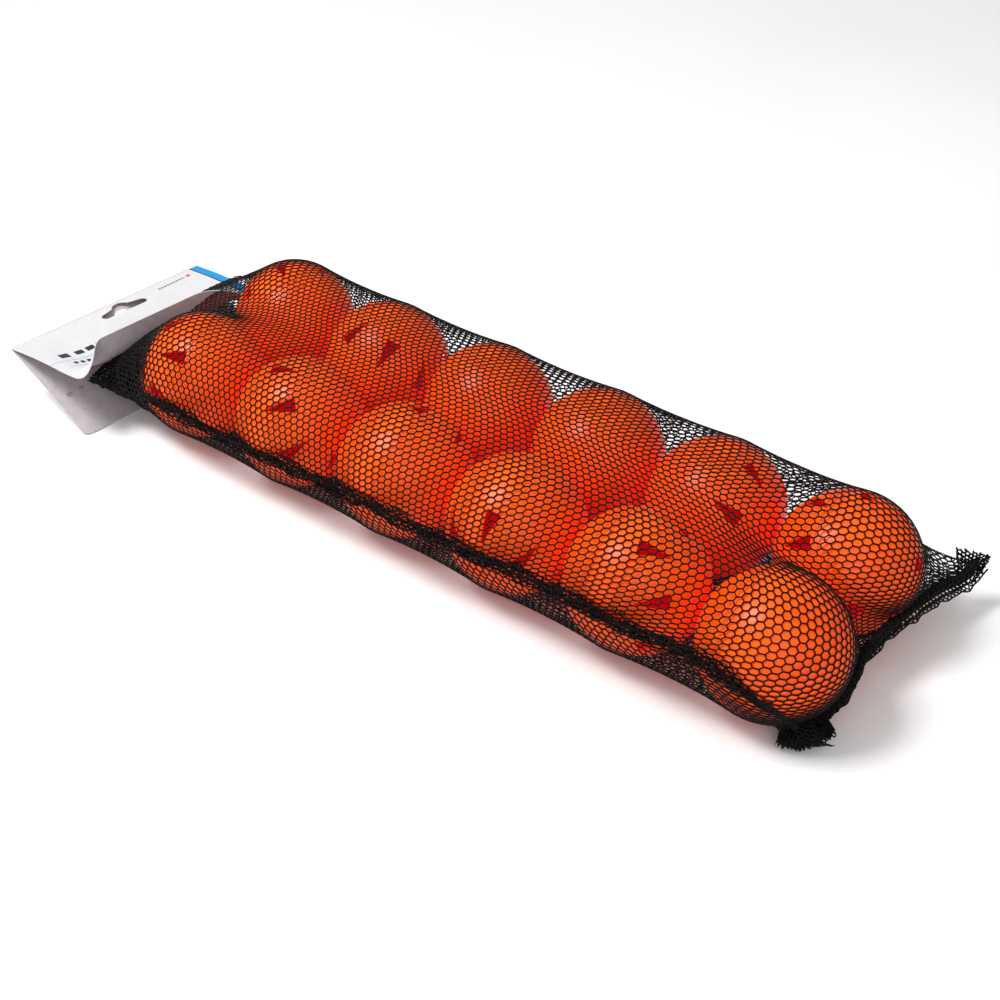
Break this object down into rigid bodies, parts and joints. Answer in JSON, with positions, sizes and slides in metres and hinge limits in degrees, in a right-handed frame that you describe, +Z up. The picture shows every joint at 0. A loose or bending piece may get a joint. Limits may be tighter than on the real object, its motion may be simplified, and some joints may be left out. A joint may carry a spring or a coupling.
{
  "type": "mesh ball bag",
  "caption": "Black knotted mesh tube bag that holds hollow perforated practice balls in two rows, sewn shut at one end and stapled into a folded hanging header card.",
  "frame": {"origin": "centre of the bounding box, on the floor that the bag lies on", "axes": "+X along the bag towards its sewn end, +Y across towards the back row of balls, +Z up"},
  "size_m": [0.5268, 0.1926, 0.0724],
  "materials": {
    "ball_plastic": "satin moulded polyethylene",
    "net_cord": "knotted black polyester net",
    "sewing_thread": "black sewing thread",
    "card_board": null,
    "staple_wire": "galvanised wire"
  },
  "bodies": {
    "bag": {"net_tube": "net_cord", "side_gather": "net_cord", "end_seam": "net_cord", "seam_thread": "sewing_thread", "net_selvage": "net_cord", "corner_ear_front": "net_cord", "corner_ear_back": "net_cord", "card_rear_flap": "card_board", "mouth_gather": "net_cord", "staple_near": "staple_wire", "staple_far": "staple_wire"},
    "card_flap": {"card_front_flap": "card_board"},
    "ball_front_1": {"ball_front_1": "ball_plastic"},
    "ball_front_2": {"ball_front_2": "ball_plastic"},
    "ball_front_3": {"ball_front_3": "ball_plastic"},
    "ball_front_4": {"ball_front_4": "ball_plastic"},
    "ball_front_5": {"ball_front_5": "ball_plastic"},
    "ball_front_6": {"ball_front_6": "ball_plastic"},
    "ball_back_1": {"ball_back_1": "ball_plastic"},
    "ball_back_2": {"ball_back_2": "ball_plastic"},
    "ball_back_3": {"ball_back_3": "ball_plastic"},
    "ball_back_4": {"ball_back_4": "ball_plastic"},
    "ball_back_5": {"ball_back_5": "ball_plastic"},
    "ball_back_6": {"ball_back_6": "ball_plastic"}
  },
  "joints": [
    {"name": "card_flap_fold", "type": "hinge", "parent": "bag", "child": "card_flap", "pos_m": [-0.25876, -0.02417, 0.03215], "axis": [-0.075, -0.9972, 0], "range_deg": [0, 60]},
    {"name": "ball_front_1_roll", "type": "hinge", "parent": "bag", "child": "ball_front_1", "pos_m": [-0.15006, -0.04562, 0.0362], "axis": [0, 0, 1], "continuous": true},
    {"name": "ball_front_2_roll", "type": "hinge", "parent": "bag", "child": "ball_front_2", "pos_m": [-0.07466, -0.04572, 0.0362], "axis": [0, 0, 1], "continuous": true},
    {"name": "ball_front_3_roll", "type": "hinge", "parent": "bag", "child": "ball_front_3", "pos_m": [-0.00156, -0.04532, 0.0362], "axis": [0, 0, 1], "continuous": true},
    {"name": "ball_front_4_roll", "type": "hinge", "parent": "bag", "child": "ball_front_4", "pos_m": [0.07044, -0.04562, 0.0362], "axis": [0, 0, 1], "continuous": true},
    {"name": "ball_front_5_roll", "type": "hinge", "parent": "bag", "child": "ball_front_5", "pos_m": [0.14134, -0.04522, 0.0362], "axis": [0, 0, 1], "continuous": true},
    {"name": "ball_front_6_roll", "type": "hinge", "parent": "bag", "child": "ball_front_6", "pos_m": [0.21344, -0.04452, 0.0362], "axis": [0, 0, 1], "continuous": true},
    {"name": "ball_back_1_roll", "type": "hinge", "parent": "bag", "child": "ball_back_1", "pos_m": [-0.15176, 0.02868, 0.0362], "axis": [0, 0, 1], "continuous": true},
    {"name": "ball_back_2_roll", "type": "hinge", "parent": "bag", "child": "ball_back_2", "pos_m": [-0.07696, 0.02598, 0.0362], "axis": [0, 0, 1], "continuous": true},
    {"name": "ball_back_3_roll", "type": "hinge", "parent": "bag", "child": "ball_back_3", "pos_m": [-0.00346, 0.02578, 0.0362], "axis": [0, 0, 1], "continuous": true},
    {"name": "ball_back_4_roll", "type": "hinge", "parent": "bag", "child": "ball_back_4", "pos_m": [0.06854, 0.02578, 0.0362], "axis": [0, 0, 1], "continuous": true},
    {"name": "ball_back_5_roll", "type": "hinge", "parent": "bag", "child": "ball_back_5", "pos_m": [0.13944, 0.02608, 0.0362], "axis": [0, 0, 1], "continuous": true},
    {"name": "ball_back_6_roll", "type": "hinge", "parent": "bag", "child": "ball_back_6", "pos_m": [0.21174, 0.02618, 0.0362], "axis": [0, 0, 1], "continuous": true}
  ]
}
